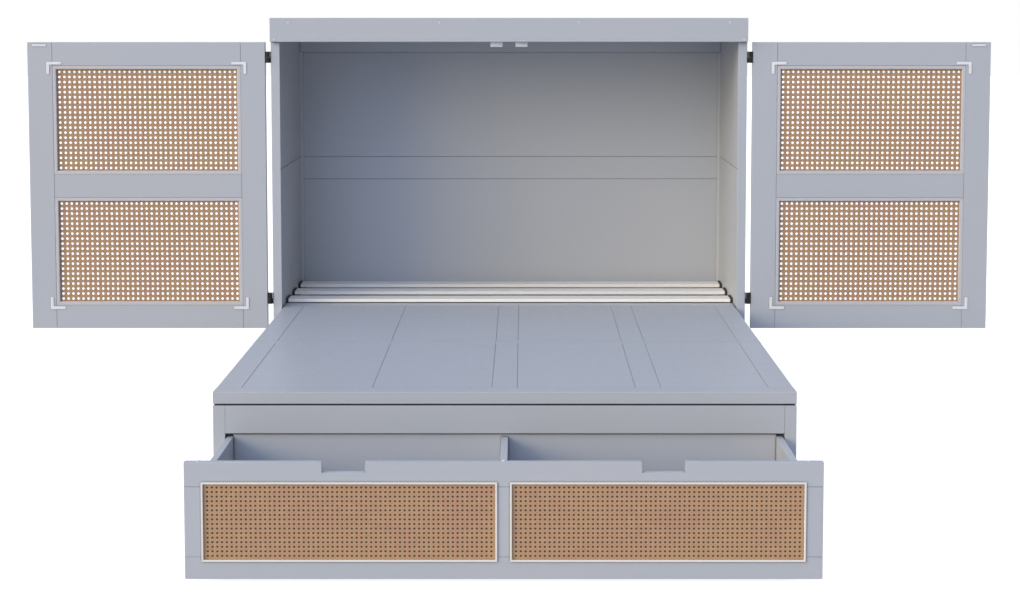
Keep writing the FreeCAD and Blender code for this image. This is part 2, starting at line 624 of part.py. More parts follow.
def wheel(y):
    """A moulded wheel, turned about its axle."""
    body = doc.addObject("PartDesign::Body", "Wheel")
    sketch = sketched(body, "XY_Plane", "Section")
    core = "(axleRadius + runningGap)"
    outline(sketch, [(0, core), ("wheelWidth", core), ("wheelWidth", "wheelRadius"),
                     (0, "wheelRadius")])
    turned = body.newObject("PartDesign::Revolution", "Turned")
    turned.Profile = sketch
    turned.ReferenceAxis = (sketch, ["H_Axis"])
    turned.Angle = 360
    return at(body, "%s - wheelWidth / 2" % wheelX, y, "wheelRadius")


for name, y in zip(("front_wheels", "back_wheels"), wheelYs):
    oneWheel = wheel(y)
    node(name, oneWheel, mirrored(oneWheel))


# ---- drawer -------------------------------------------------------------------------------------

drawerInY = "(%s + drawerFaceThick)" % drawerFaceY
railLow = "(drawerBottom + drawerLowRail)"
railHigh = "(%s - drawerTopRail)" % drawerTop
caneLow = "(%s - panelReveal)" % railLow
caneTop = "(%s + panelReveal)" % railHigh
panelX0 = "(drawerMidStile / 2 - panelReveal)"
panelX1 = "(%s - drawerEndStile + panelReveal)" % halfDrawer


def notchCut(sign):
    """A hand-hold in the top edge, with sloping ends."""
    left = "(%snotchSpread / 2 - notchWidth / 2)" % sign
    body = profile([("notchSlope", 0), ("notchWidth - notchSlope", 0), ("notchWidth", "notchDepth + 1"),
                    (0, "notchDepth + 1")], "drawerFaceThick + 2", "XZ_Plane", True)
    return at(body, left, "%s - 1" % drawerFaceY, "%s - notchDepth" % drawerTop)


def frontPiece(x0, x1, z0, z1, *others):
    """A rail or stile of the drawer's front, cut back where the cane panels sit."""
    opening = block(panelX0, panelX1, "%s - 1" % drawerFaceY, "%s + 1" % drawerInY, caneLow, caneTop)
    return cut(board(x0, x1, drawerFaceY, drawerInY, z0, z1), opening, mirrored(opening), *others)


node("drawer_top_rail", frontPiece("-" + halfDrawer, halfDrawer, railHigh, drawerTop,
                                   notchCut(""), notchCut("-")))
node("drawer_low_rail", frontPiece("-" + halfDrawer, halfDrawer, "drawerBottom", railLow))
endStile = frontPiece("%s - drawerEndStile" % halfDrawer, halfDrawer, railLow, railHigh)
midStile = frontPiece("-drawerMidStile / 2", "drawerMidStile / 2", railLow, railHigh)
node("drawer_stiles", endStile, mirrored(endStile), midStile)
drawerCaneY = "(%s + frameBeadLap)" % drawerFaceY
cane = net(panelX0, panelX1, caneLow, caneTop, "(frameBead + frameBeadLap)", "drawerCaneColumns",
           "drawerCaneRows", drawerCaneY)
node("drawer_cane_panels", cane, mirrored(cane))
bead = ring("(%s - frameBead)" % panelX0, "(%s + frameBead)" % panelX1, "(%s - frameBead)" % caneLow,
            "(%s + frameBead)" % caneTop, "frameBead + frameBeadLap", "(%s - frameBeadThick)" % drawerFaceY,
            drawerFaceY)
node("drawer_bead_frames", bead, mirrored(bead))
backing = block(panelX0, panelX1, "%s + caneThick" % drawerCaneY, drawerInY, caneLow, caneTop)
node("drawer_cane_backs", backing, mirrored(backing))

boxBackY = "(%s + drawerBoxDepth)" % drawerInY
boxTop = "(%s - boxTopDrop)" % drawerTop
boxInner = "(%s - drawerSideThick)" % halfBox
boxSide = board(boxInner, halfBox, drawerInY, boxBackY, "drawerBoxBottom", boxTop)
node("drawer_sides", boxSide, mirrored(boxSide))
node("drawer_back", board("-" + boxInner, boxInner, "%s - drawerSideThick" % boxBackY, boxBackY,
                          "drawerBoxBottom", boxTop))
floorTop = "(drawerBoxBottom + drawerPanelRaise + drawerPanelThick)"
node("drawer_divider", board("-drawerSideThick / 2", "drawerSideThick / 2", drawerInY,
                             "%s - drawerSideThick" % boxBackY, floorTop, boxTop))
node("drawer_floor", block("-" + boxInner, boxInner, drawerInY, "%s - drawerSideThick" % boxBackY,
                           "drawerBoxBottom + drawerPanelRaise", floorTop))


# ---- check and write ----------------------------------------------------------------------------

doc.recompute()
faulty = [item.Name for item in doc.Objects if {"Invalid", "Error"} & set(item.State)]
if faulty:
    raise RuntimeError("these objects did not build: " + ", ".join(faulty))
os.makedirs("parts", exist_ok=True)
facets = 0
for item in nodes:
    shape = item.Shape
    if shape.isNull() or not shape.isValid() or not shape.Solids:
        raise RuntimeError("this sub-part is not a valid solid: " + item.Label)
    facets += len(shape.tessellate(0.5)[1])
for item in nodes:
    item.Shape.exportStep("parts/%s.step" % item.Label)
whole = Part.makeCompound([item.Shape for item in nodes]).BoundBox
print("nodes", len(nodes), "solids", sum(len(item.Shape.Solids) for item in nodes), "facets", facets)
print("box X %.1f..%.1f Y %.1f..%.1f Z %.1f..%.1f" % (whole.XMin, whole.XMax, whole.YMin,
                                                     whole.YMax, whole.ZMin, whole.ZMax))
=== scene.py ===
import bmesh
import bpy
import json
import math
from mathutils import Matrix, Vector

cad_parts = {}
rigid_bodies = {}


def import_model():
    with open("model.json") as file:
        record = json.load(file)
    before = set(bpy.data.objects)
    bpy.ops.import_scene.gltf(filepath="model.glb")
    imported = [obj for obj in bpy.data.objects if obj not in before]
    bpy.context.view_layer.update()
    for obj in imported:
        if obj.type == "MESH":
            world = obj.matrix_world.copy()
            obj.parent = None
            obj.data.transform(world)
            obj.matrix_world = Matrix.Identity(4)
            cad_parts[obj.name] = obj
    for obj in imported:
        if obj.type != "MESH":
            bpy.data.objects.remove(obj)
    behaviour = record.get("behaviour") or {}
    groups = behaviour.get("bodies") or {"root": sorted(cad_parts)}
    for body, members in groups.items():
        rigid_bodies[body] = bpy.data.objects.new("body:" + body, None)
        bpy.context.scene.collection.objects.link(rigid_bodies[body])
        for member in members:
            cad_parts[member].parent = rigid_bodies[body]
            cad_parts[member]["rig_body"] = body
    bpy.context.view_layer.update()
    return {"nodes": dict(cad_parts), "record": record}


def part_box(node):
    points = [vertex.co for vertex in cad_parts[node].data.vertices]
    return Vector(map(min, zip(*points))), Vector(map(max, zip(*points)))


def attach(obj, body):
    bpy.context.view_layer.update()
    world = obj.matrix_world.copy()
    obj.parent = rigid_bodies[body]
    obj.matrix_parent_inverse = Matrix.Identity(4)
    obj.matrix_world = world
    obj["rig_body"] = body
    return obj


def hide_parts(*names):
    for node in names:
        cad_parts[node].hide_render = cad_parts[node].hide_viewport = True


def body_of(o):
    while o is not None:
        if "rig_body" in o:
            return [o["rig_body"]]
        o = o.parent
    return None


# Looks for the cabinet bed. Metres, +X right, +Y to the back, +Z up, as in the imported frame.
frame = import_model()
nodes = frame["nodes"]
print("frame loaded:", len(nodes), "nodes")


# small tools that all the pieces share
def deselectAll():
    if bpy.context.object and bpy.context.object.mode != "OBJECT":
        bpy.ops.object.mode_set(mode="OBJECT")
    bpy.ops.object.select_all(action="DESELECT")


def makeActive(item):
    deselectAll()
    item.select_set(True)
    bpy.context.view_layer.objects.active = item


def settle(item):
    # the place goes into the mesh, so that the object sits at the origin
    makeActive(item)
    bpy.ops.object.transform_apply(location=True, rotation=True, scale=True)
    return item


def addBlock(name, low, high):
    deselectAll()
    low, high = Vector(low), Vector(high)
    bpy.ops.mesh.primitive_cube_add(size=1, location=(low + high) / 2)
    item = bpy.context.object
    item.name = name
    item.scale = high - low
    return settle(item)


def addDisc(name, centre, radius, depth, sides=32, axis="Y"):
    deselectAll()
    turn = {"Y": (math.pi / 2, 0, 0), "X": (0, math.pi / 2, 0), "Z": (0, 0, 0)}[axis]
    bpy.ops.mesh.primitive_cylinder_add(vertices=sides, radius=radius, depth=depth, location=centre,
                                        rotation=turn)
    item = bpy.context.object
    item.name = name
    return settle(item)


def editEdges(item, test):
    # leaves the item in edit mode with the edges chosen by test(middle, direction) selected
    makeActive(item)
    bpy.ops.object.mode_set(mode="EDIT")
    bpy.ops.mesh.select_mode(type="EDGE")
    bpy.ops.mesh.select_all(action="DESELECT")
    mesh = bmesh.from_edit_mesh(item.data)
    for edge in mesh.edges:
        first, last = edge.verts[0].co, edge.verts[1].co
        edge.select_set(test((first + last) / 2, (last - first).normalized()))
    mesh.select_flush(False)
    bmesh.update_edit_mesh(item.data)


edgeRuns = {"along": 0.99, "across": 0.1, "near": 0.00001}


def isAlong(part):
    # part is what an edge's direction has on one axis
    return abs(part) > edgeRuns["along"]


def isAcross(part):
    return abs(part) < edgeRuns["across"]


def bevelWhere(item, width, segments, test):
    editEdges(item, test)
    bpy.ops.mesh.bevel(offset=width, segments=segments, affect="EDGES")
    bpy.ops.object.mode_set(mode="OBJECT")
    return item


def bevelAll(item, width, segments):
    return bevelWhere(item, width, segments, lambda middle, direction: True)


def cutAway(item, place, normal, fill=True):
    # cuts away what lies on the normal's side of a plane
    makeActive(item)
    bpy.ops.object.mode_set(mode="EDIT")
    bpy.ops.mesh.select_all(action="SELECT")
    bpy.ops.mesh.bisect(plane_co=place, plane_no=normal, use_fill=fill, clear_outer=True)
    bpy.ops.object.mode_set(mode="OBJECT")
    return item


def applyAll(item):
    makeActive(item)
    for modifier in list(item.modifiers):
        bpy.ops.object.modifier_apply(modifier=modifier.name)
    return item


def copyOf(item, name, offset=(0, 0, 0), mirrorX=False, mirrorZ=False):
    other = item.copy()
    other.data = item.data.copy()
    other.name = name
    bpy.context.collection.objects.link(other)
    if mirrorX or mirrorZ:
        other.data.transform(Matrix.Diagonal((-1 if mirrorX else 1, 1, -1 if mirrorZ else 1, 1)))
        if mirrorX != mirrorZ:
            other.data.flip_normals()
    other.data.transform(Matrix.Translation(offset))
    return other


def joinUp(name, items):
    deselectAll()
    for item in items:
        item.select_set(True)
    bpy.context.view_layer.objects.active = items[0]
    if len(items) > 1:
        bpy.ops.object.join()
    items[0].name = name
    return items[0]


def dress(item, material, body, stoodFor=(), angle=35):
    # the last step of every new piece: finish, shading and body. The weighted normals keep a
    # large face flat beside its narrow eased edges
    makeActive(item)
    bpy.ops.object.shade_smooth_by_angle(angle=math.radians(angle))
    flat = item.modifiers.new("flat", "WEIGHTED_NORMAL")
    flat.keep_sharp = True
    applyAll(item)
    item.data.materials.clear()
    item.data.materials.append(material)
    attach(item, body)
    if stoodFor:
        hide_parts(*stoodFor)
    return item


# materials, built from shader nodes
def colour(hexValue):
    # sRGB hex to the linear values that the shader wants
    parts = [int(hexValue[i:i + 2], 16) / 255 for i in (1, 3, 5)]
    return tuple(c / 12.92 if c <= 0.04045 else ((c + 0.055) / 1.055) ** 2.4 for c in parts) + (1.0,)


def addNode(material, kind, inputs=None, **settings):
    # one node with its settings, its values and its links
    node = material.node_tree.nodes.new("ShaderNode" + kind)
    for name, value in settings.items():
        setattr(node, name, value)
    for name, value in (inputs or {}).items():
        socket = node.inputs[name]
        if isinstance(value, bpy.types.NodeSocket):
            material.node_tree.links.new(value, socket)
        else:
            socket.default_value = value
    return node


def newMaterial(name, fixed):
    # a principled material. fixed holds what is the same all over the surface
    material = bpy.data.materials.new(name)
    material.use_nodes = True
    shader = material.node_tree.nodes["Principled BSDF"]
    for socket, value in fixed.items():
        shader.inputs[socket].default_value = value
    return material, shader


def plug(material, output, socket):
    material.node_tree.links.new(output, socket)


def blendOf(material, factor, first, second):
    # a colour between two, either of them a hex value or a socket
    first = colour(first) if isinstance(first, str) else first
    second = colour(second) if isinstance(second, str) else second
    mix = addNode(material, "Mix", {"Factor": factor}, data_type="RGBA")
    for socket, value in ((mix.inputs[6], first), (mix.inputs[7], second)):
        if isinstance(value, bpy.types.NodeSocket):
            plug(material, value, socket)
        else:
            socket.default_value = value
    return mix.outputs[2]


def ramp(material, value, low, high, toLow=0.0, toHigh=1.0):
    return addNode(material, "MapRange", {"Value": value, "From Min": low, "From Max": high,
                                          "To Min": toLow, "To Max": toHigh}).outputs["Result"]


def fromNoise(material, value, toLow, toHigh):
    # noise mostly lies between 0.3 and 0.7, which this spreads over the range asked for
    return ramp(material, value, 0.3, 0.7, toLow, toHigh)


def noise(material, vector, perMetre, detail=2.0, roughness=0.5):
    return addNode(material, "TexNoise", {"Vector": vector, "Scale": perMetre, "Detail": detail,
                                          "Roughness": roughness}).outputs["Fac"]


def bump(material, height, distance, strength=1.0):
    return addNode(material, "Bump", {"Height": height, "Distance": distance,
                                      "Strength": strength}).outputs["Normal"]


def stretched(material, vector, scale):
    return addNode(material, "Mapping", {"Vector": vector, "Scale": scale}).outputs["Vector"]


paint = {"blue": "#b4b8bf", "grey": "#b7b9be", "joint": "#343a48", "paintedShadeMm": 6, "paintedShadeShare": 0.85,
         "sprayMm": 1.6, "sprayHeight": 0.00002, "dust": "#9ea3ae", "dustPerMetre": 90, "dustShare": 0.06,
         "roughLow": 0.34, "roughHigh": 0.46, "patchMm": 700, "beadBlue": "#c3c1c4", "beadGrey": "#c8c3c1"}


def satinLacquer(name, blue, grey):
    # sprayed polyurethane lacquer on MDF: even satin sheen, faint orange peel, a slow drift of tone
    material, shader = newMaterial(name, {"IOR": 1.5, "Specular IOR Level": 0.45, "Metallic": 0.0})
    place = addNode(material, "TexCoord").outputs["Object"]
    patches = ramp(material, noise(material, place, 1000 / paint["patchMm"], 1.0), 0.35, 0.65)
    dust = noise(material, place, paint["dustPerMetre"], 3.0)
    tone = blendOf(material, patches, blue, grey)
    tone = blendOf(material, fromNoise(material, dust, 0.0, paint["dustShare"]), tone, paint["dust"])
    # painted shade: ambient occlusion darkens closed joints and inner corners within a few millimetres
    occlusion = addNode(material, "AmbientOcclusion", {"Distance": paint["paintedShadeMm"] / 1000}, samples=6)
    paintedShade = ramp(material, occlusion.outputs["AO"], 0.4, 0.97, paint["paintedShadeShare"], 0.0)
    tone = blendOf(material, paintedShade, tone, paint["joint"])
    plug(material, tone, shader.inputs["Base Color"])
    plug(material, fromNoise(material, dust, paint["roughLow"], paint["roughHigh"]),
         shader.inputs["Roughness"])
    peel = noise(material, place, 1000 / paint["sprayMm"], 1.0)
    plug(material, bump(material, peel, paint["sprayHeight"], 0.6), shader.inputs["Normal"])
    return material


# edge is the dark of the fibre streaks, and of the painted shade along each strand's edges
doorWeave = {"tan": "#c9a47c", "pink": "#c99f83", "straw": "#c8ac7c", "edge": "#6b4a36"}
drawerWeave = {"tan": "#d7b088", "pink": "#d4a98a", "straw": "#d9b68c", "edge": "#6a472f"}
rattan = {"patchMm": 120, "strawPerMetre": 31, "strawStretch": (1.7, 1.0, 2.3), "fibreStretch": (60, 9, 1),
          "fibreShare": 0.35, "edgeShadeShare": 0.75, "reliefHeight": 0.0004}


def peeledRattan(name, tones):
    # split rattan skin: long fibres, a tan that shifts from place to place, and painted shade darkening each
    # strand towards its edges
    material, shader = newMaterial(name, {"IOR": 1.45, "Specular IOR Level": 0.25})
    coords = addNode(material, "TexCoord")
    place, along = coords.outputs["Object"], coords.outputs["UV"]
    patches = noise(material, place, 1000 / rattan["patchMm"], 2.0)
    tone = blendOf(material, ramp(material, patches, 0.35, 0.65), tones["tan"], tones["pink"])
    other = noise(material, stretched(material, place, rattan["strawStretch"]), rattan["strawPerMetre"], 1.0)
    tone = blendOf(material, ramp(material, other, 0.5, 0.72, 0.0, 0.8), tone, tones["straw"])
    fibres = noise(material, stretched(material, along, rattan["fibreStretch"]), 1.0, 3.0, 0.6)
    tone = blendOf(material, ramp(material, fibres, 0.35, 0.75, 0.0, rattan["fibreShare"]), tone,
                   tones["edge"])
    # painted shade: each strand darkens towards both its edges, where its own thickness casts shade
    across = addNode(material, "SeparateXYZ", {"Vector": along}).outputs["Y"]
    middle = addNode(material, "Math", {0: across, 1: 0.5}, operation="SUBTRACT").outputs[0]
    side = addNode(material, "Math", {0: middle}, operation="ABSOLUTE").outputs[0]
    tone = blendOf(material, ramp(material, side, 0.3, 0.5, 0.0, rattan["edgeShadeShare"]), tone, tones["edge"])
    plug(material, tone, shader.inputs["Base Color"])
    plug(material, fromNoise(material, fibres, 0.42, 0.62), shader.inputs["Roughness"])
    crown = addNode(material, "Math", {0: side, 1: side}, operation="MULTIPLY").outputs[0]
    hollow = ramp(material, crown, 0.0, 0.25, 1.0, 0.0)
    relief = addNode(material, "Math", {0: fibres, 1: 0.25, 2: hollow},
                     operation="MULTIPLY_ADD").outputs[0]
    plug(material, bump(material, relief, rattan["reliefHeight"], 0.8), shader.inputs["Normal"])
    return material


moulded = {"speck": "#8f9196", "speckShare": 0.12, "duller": 0.07, "shinier": 0.05,
           "grainHeight": 0.00003}


def mouldedPlastic(name, tone, roughness, grainMm):
    # injection moulded: one even colour, a fine spark-eroded grain
    material, shader = newMaterial(name, {"IOR": 1.49})
    place = addNode(material, "TexCoord").outputs["Object"]
    grain = noise(material, place, 1000 / grainMm, 2.0)
    specks = fromNoise(material, grain, 0.0, moulded["speckShare"])
    plug(material, blendOf(material, specks, tone, moulded["speck"]), shader.inputs["Base Color"])
    plug(material, fromNoise(material, grain, roughness - moulded["shinier"], roughness + moulded["duller"]),
         shader.inputs["Roughness"])
    plug(material, bump(material, grain, moulded["grainHeight"], 0.5), shader.inputs["Normal"])
    return material


enamel = {"black": "#101014", "rubbed": "#1e1e24", "rubbedShare": 0.5, "grainPerMetre": 900,
          "roughLow": 0.3, "roughHigh": 0.48, "grainHeight": 0.00004}


def blackSteel(name):
    # pressed steel with baked black enamel: near black and satin, with small rubbed specks
    material, shader = newMaterial(name, {"IOR": 1.5, "Specular IOR Level": 0.25})
    place = addNode(material, "TexCoord").outputs["Object"]
    grain = noise(material, place, enamel["grainPerMetre"], 3.0)
    worn = ramp(material, grain, 0.4, 0.8, 0.0, enamel["rubbedShare"])
    plug(material, blendOf(material, worn, enamel["black"], enamel["rubbed"]), shader.inputs["Base Color"])
    plug(material, fromNoise(material, grain, enamel["roughLow"], enamel["roughHigh"]),
         shader.inputs["Roughness"])
    plug(material, bump(material, grain, enamel["grainHeight"], 0.5), shader.inputs["Normal"])
    return material


foil = {"white": "#fffbf4", "grain": "#f6f1e8", "grainShare": 0.35, "grainStretch": (4, 120, 120),
        "roughLow": 0.3, "roughHigh": 0.42, "grainHeight": 0.00008}


def whiteLaminate(name):
    # ply wrapped in white foil: bright satin, the grain just shows through along the slat
    material, shader = newMaterial(name, {"IOR": 1.5, "Specular IOR Level": 0.5})
    place = addNode(material, "TexCoord").outputs["Object"]
    grain = noise(material, stretched(material, place, foil["grainStretch"]), 3.0, 4.0, 0.6)
    lines = ramp(material, grain, 0.35, 0.7, 0.0, foil["grainShare"])
    plug(material, blendOf(material, lines, foil["white"], foil["grain"]), shader.inputs["Base Color"])
    plug(material, fromNoise(material, grain, foil["roughLow"], foil["roughHigh"]),
         shader.inputs["Roughness"])
    plug(material, bump(material, grain, foil["grainHeight"], 0.5), shader.inputs["Normal"])
    return material


hardboard = {"light": "#664630", "dark": "#38261a", "fibrePerMetre": 420, "roughLow": 0.5,
             "roughHigh": 0.75, "fibreHeight": 0.00008}


def brownBoard(name):
    # hardboard behind the drawer's cane: bare brown face to the front, lacquered inside the drawer
    material, shader = newMaterial(name, {"IOR": 1.5})
    coords = addNode(material, "TexCoord")
    front = addNode(material, "SeparateXYZ", {"Vector": coords.outputs["Normal"]}).outputs["Y"]
    fibre = noise(material, coords.outputs["Object"], hardboard["fibrePerMetre"], 4.0, 0.65)
    bare = blendOf(material, fibre, hardboard["light"], hardboard["dark"])
    plug(material, blendOf(material, ramp(material, front, 0.2, 0.4), bare, paint["blue"]),
         shader.inputs["Base Color"])
    plug(material, fromNoise(material, fibre, hardboard["roughLow"], hardboard["roughHigh"]),
         shader.inputs["Roughness"])
    plug(material, bump(material, fibre, hardboard["fibreHeight"], 0.4), shader.inputs["Normal"])
    return material


felt = {"dark": "#3c3d42", "light": "#6b6c72", "hairPerMetre": 1500, "hairHeight": 0.0003}


def softFelt(name):
    # needled felt between base and platform: short grey hairs and no shine
    material, shader = newMaterial(name, {"Roughness": 0.95, "Sheen Weight": 0.4})
    place = addNode(material, "TexCoord").outputs["Object"]
    hair = noise(material, stretched(material, place, (1, 1, 3)), felt["hairPerMetre"], 4.0, 0.7)
    plug(material, blendOf(material, hair, felt["dark"], felt["light"]), shader.inputs["Base Color"])
    plug(material, bump(material, hair, felt["hairHeight"], 0.8), shader.inputs["Normal"])
    return material


finish = {
    "board": satinLacquer("satin_lacquer_blue_grey", paint["blue"], paint["grey"]),
    "doorCane": peeledRattan("peeled_rattan_door", doorWeave),
    "drawerCane": peeledRattan("peeled_rattan_drawer", drawerWeave),
    "backing": brownBoard("bare_brown_hardboard"),
    "beadPaint": satinLacquer("satin_lacquer_bead", paint["beadBlue"], paint["beadGrey"]),
    "cap": mouldedPlastic("pale_grey_cap", "#c9cacf", 0.4, 0.9),
    "cream": mouldedPlastic("cream_gloss_bead", "#efe8de", 0.32, 1.2),
    "bracket": mouldedPlastic("white_nylon_bracket", "#ebebee", 0.38, 0.9),
    "plastic": mouldedPlastic("white_moulded_plastic", "#eeeef0", 0.35, 0.9),
    "steel": blackSteel("black_enamelled_steel"),
    "slat": whiteLaminate("white_foil_on_ply"),
    "rubber": mouldedPlastic("black_rubber", "#1c1c1f", 0.6, 1.5),
    "nylon": mouldedPlastic("dark_grey_nylon", "#3a3b3f", 0.45, 1.5),
    "felt": softFelt("needled_felt"),
}
slotFinish = {"painted_board": "board", "woven_cane": "doorCane", "cream_bead": "cream",
              "white_bracket": "bracket", "black_steel": "steel", "white_plastic": "plastic",
              "white_slat": "slat", "black_rubber": "rubber", "wheel_nylon": "nylon", "felt_pad": "felt"}
for part in frame["record"]["subparts"]:
    cadPiece = nodes[part["node"]]
    cadPiece.data.materials.clear()
    cadPiece.data.materials.append(finish[slotFinish[part["material_slot"]]])
nodes["drawer_cane_backs"].data.materials[0] = finish["backing"]
print("materials made")


# stage, light and camera. The camera is fitted to the photograph
view = {"place": (0.0512, -5.8501, 1.4189), "pitch": 4.473, "yaw": 0.023, "lens": 66.8,
        "shiftX": -0.01305, "shiftY": -0.132, "clipEnd": 200}
studio = {"floorWide": 80, "floorDrop": 0.0003, "floorTone": "#bcbec3", "floorGlow": 0.85,
          "floorRough": 0.9, "floorShine": 0.1, "horizon": "#000000", "zenith": "#d2e3ff",
          "skyStrength": 1.04}
# where each lamp stands as seen from the object (degrees round from the front, degrees up), and how
# many degrees wide it is, which softens its shadow
lamps = {"lowKey": {"around": -45, "rise": 12, "spread": 30, "strength": 1.15, "tone": "#ffe7a2"},
         "sideKey": {"around": -68, "rise": 25, "spread": 30, "strength": 1.34, "tone": "#fff7f0"},
         "frontFill": {"around": -12, "rise": 24, "spread": 40, "strength": 0.74, "tone": "#cedcff"}}


def addCamera():
    data = bpy.data.cameras.new("camera")
    data.lens, data.shift_x, data.shift_y = view["lens"], view["shiftX"], view["shiftY"]
    data.clip_end = view["clipEnd"]
    camera = bpy.data.objects.new("camera", data)
    camera.location = view["place"]
    camera.rotation_euler = (math.radians(90 - view["pitch"]), 0, math.radians(view["yaw"]))
    bpy.context.collection.objects.link(camera)
    bpy.context.scene.camera = camera


def addLamps():
    for name, lamp in lamps.items():
        data = bpy.data.lights.new(name, "SUN")
        data.energy, data.color = lamp["strength"], colour(lamp["tone"])[:3]
        data.angle = math.radians(lamp["spread"])
        item = bpy.data.objects.new(name, data)
        around, rise = math.radians(lamp["around"]), math.radians(lamp["rise"])
        source = Vector((math.sin(around) * math.cos(rise), -math.cos(around) * math.cos(rise),
                         math.sin(rise)))
        item.rotation_euler = source.to_track_quat("Z", "Y").to_euler()
        bpy.context.collection.objects.link(item)


def seenDirectly(owner):
    # 1 for rays that show the backdrop itself, 0 for those that light the object
    path = addNode(owner, "LightPath").outputs
    seen = addNode(owner, "Math", {0: path["Is Camera Ray"], 1: path["Is Glossy Ray"]},
                   operation="MAXIMUM").outputs[0]
    return addNode(owner, "Math", {0: seen, 1: path["Is Transmission Ray"]},
                   operation="MAXIMUM").outputs[0]


def addFloor():
    deselectAll()
    bpy.ops.mesh.primitive_plane_add(size=studio["floorWide"], location=(0, 0, -studio["floorDrop"]))
    floor = bpy.context.object
    floor.name = "floor"
    settle(floor)
    material, shader = newMaterial("pale_floor", {"Roughness": studio["floorRough"],
                                                  "Specular IOR Level": studio["floorShine"],
                                                  "Base Color": colour(studio["floorTone"]),
                                                  "Emission Color": (1, 1, 1, 1)})
    glow = addNode(material, "Math", {0: seenDirectly(material), 1: studio["floorGlow"]},
                   operation="MULTIPLY").outputs[0]
    plug(material, glow, shader.inputs["Emission Strength"])
    floor.data.materials.append(material)


def addWorld():
    # bluish from above and dark at the horizon. The camera and reflections see plain white
    world = bpy.data.worlds.new("studio_world")
    bpy.context.scene.world = world
    world.use_nodes = True
    direction = addNode(world, "TexCoord").outputs["Generated"]
    height = addNode(world, "SeparateXYZ", {"Vector": direction}).outputs["Z"]
    tone = blendOf(world, ramp(world, height, 0.0, 0.9), studio["horizon"], studio["zenith"])
    sky = addNode(world, "Background", {"Color": tone, "Strength": studio["skyStrength"]}).outputs[0]
    white = addNode(world, "Background", {"Color": (1, 1, 1, 1), "Strength": 1.0}).outputs[0]
    both = addNode(world, "MixShader", {0: seenDirectly(world), 1: sky, 2: white}).outputs[0]
    plug(world, both, world.node_tree.nodes["World Output"].inputs["Surface"])


bpy.context.scene.view_settings.view_transform = "Standard"
addCamera()
addFloor()
addWorld()
addLamps()
print("stage, lamps and camera set")


# painted boards
eased = {"width": 0.0012, "segments": 2, "sharperThan": 50, "merge": 0.00001, "flatWithin": 1}
boards = ["top_fascia", "left_side_panel", "right_side_panel", "back_lower_panel", "back_mid_rail",
          "back_upper_panel", "base_front_rail", "base_sides", "drawer_top_rail", "drawer_low_rail",
          "drawer_stiles", "drawer_sides", "drawer_divider"]
boards += [side + "_door_" + part for side in ("left", "right")
           for part in ("stiles", "end_rails", "mid_rail")]


def easeEdges(item):
    bevel = item.modifiers.new("ease", "BEVEL")
    bevel.width, bevel.segments = eased["width"], eased["segments"]
    bevel.limit_method, bevel.angle_limit = "ANGLE", math.radians(eased["sharperThan"])
    return applyAll(item)


def easeBoard(name):
    # a copy of the board whose sawn ends are rounded over too, so that each joint shows its fine line
    item = bpy.data.objects.new(name + "_eased", nodes[name].data.copy())
    bpy.context.collection.objects.link(item)
    makeActive(item)
    bpy.ops.object.mode_set(mode="EDIT")
    bpy.ops.mesh.select_all(action="SELECT")
    bpy.ops.mesh.remove_doubles(threshold=eased["merge"])
    bpy.ops.mesh.dissolve_limited(angle_limit=math.radians(eased["flatWithin"]))
    bpy.ops.object.mode_set(mode="OBJECT")
    dress(easeEdges(item), finish["board"], body_of(nodes[name])[0], [name])


drawerBack = {"runClear": 0.0034}


def fitDrawerBack():
    # taller than the drawer's sides, so that it closes the gap under the base's front rail
    low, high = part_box("drawer_back")
    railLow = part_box("base_front_rail")[0]
    item = addBlock("drawer_back_raised", low, (high.x, high.y, railLow.z - drawerBack["runClear"]))
    dress(easeEdges(item), finish["board"], "drawer", ["drawer_back"])


for name in boards:
    easeBoard(name)
fitDrawerBack()
print("boards eased:", len(boards) + 1)


# woven cane and the beads that clamp it
bead = {"mitreGap": 0.00015, "round": 0.0035, "arris": 0.0008, "drawerInner": 0.016, "drawerWide": 0.005,
        "drawerRound": 0.0015}
strand = {"wide": 0.0043, "apart": 0.0048, "thick": 0.0007, "lift": 0.00045, "uvLong": 10}


def addRibbon(name, length, width, segments, heights):
    # a flat strip along X, lifted at each joint by the repeating heights. Its UV map runs from 0 to 1
    # across the strip, and along it in tens of strand widths
    deselectAll()
    bpy.ops.mesh.primitive_grid_add(x_subdivisions=segments, y_subdivisions=1, size=1)
    item = bpy.context.object
    item.name = name
    item.scale = (length, width, 1)
    settle(item)
    for vertex in item.data.vertices:
        step = round((vertex.co.x / length + 0.5) * segments)
        vertex.co.z = heights[step % len(heights)]
    for loop in item.data.uv_layers.active.data:
        loop.uv.x *= length / width / strand["uvLong"]
    return item


def repeat(item, offset, count):
    array = item.modifiers.new("repeat", "ARRAY")
    array.use_relative_offset = False
    array.use_constant_offset = True
    array.constant_offset_displace = offset
    array.count = count
    return applyAll(item)


def turned(item, degrees, place):
    item.rotation_euler = (0, 0, math.radians(degrees))
    item.location = place
    return settle(item)


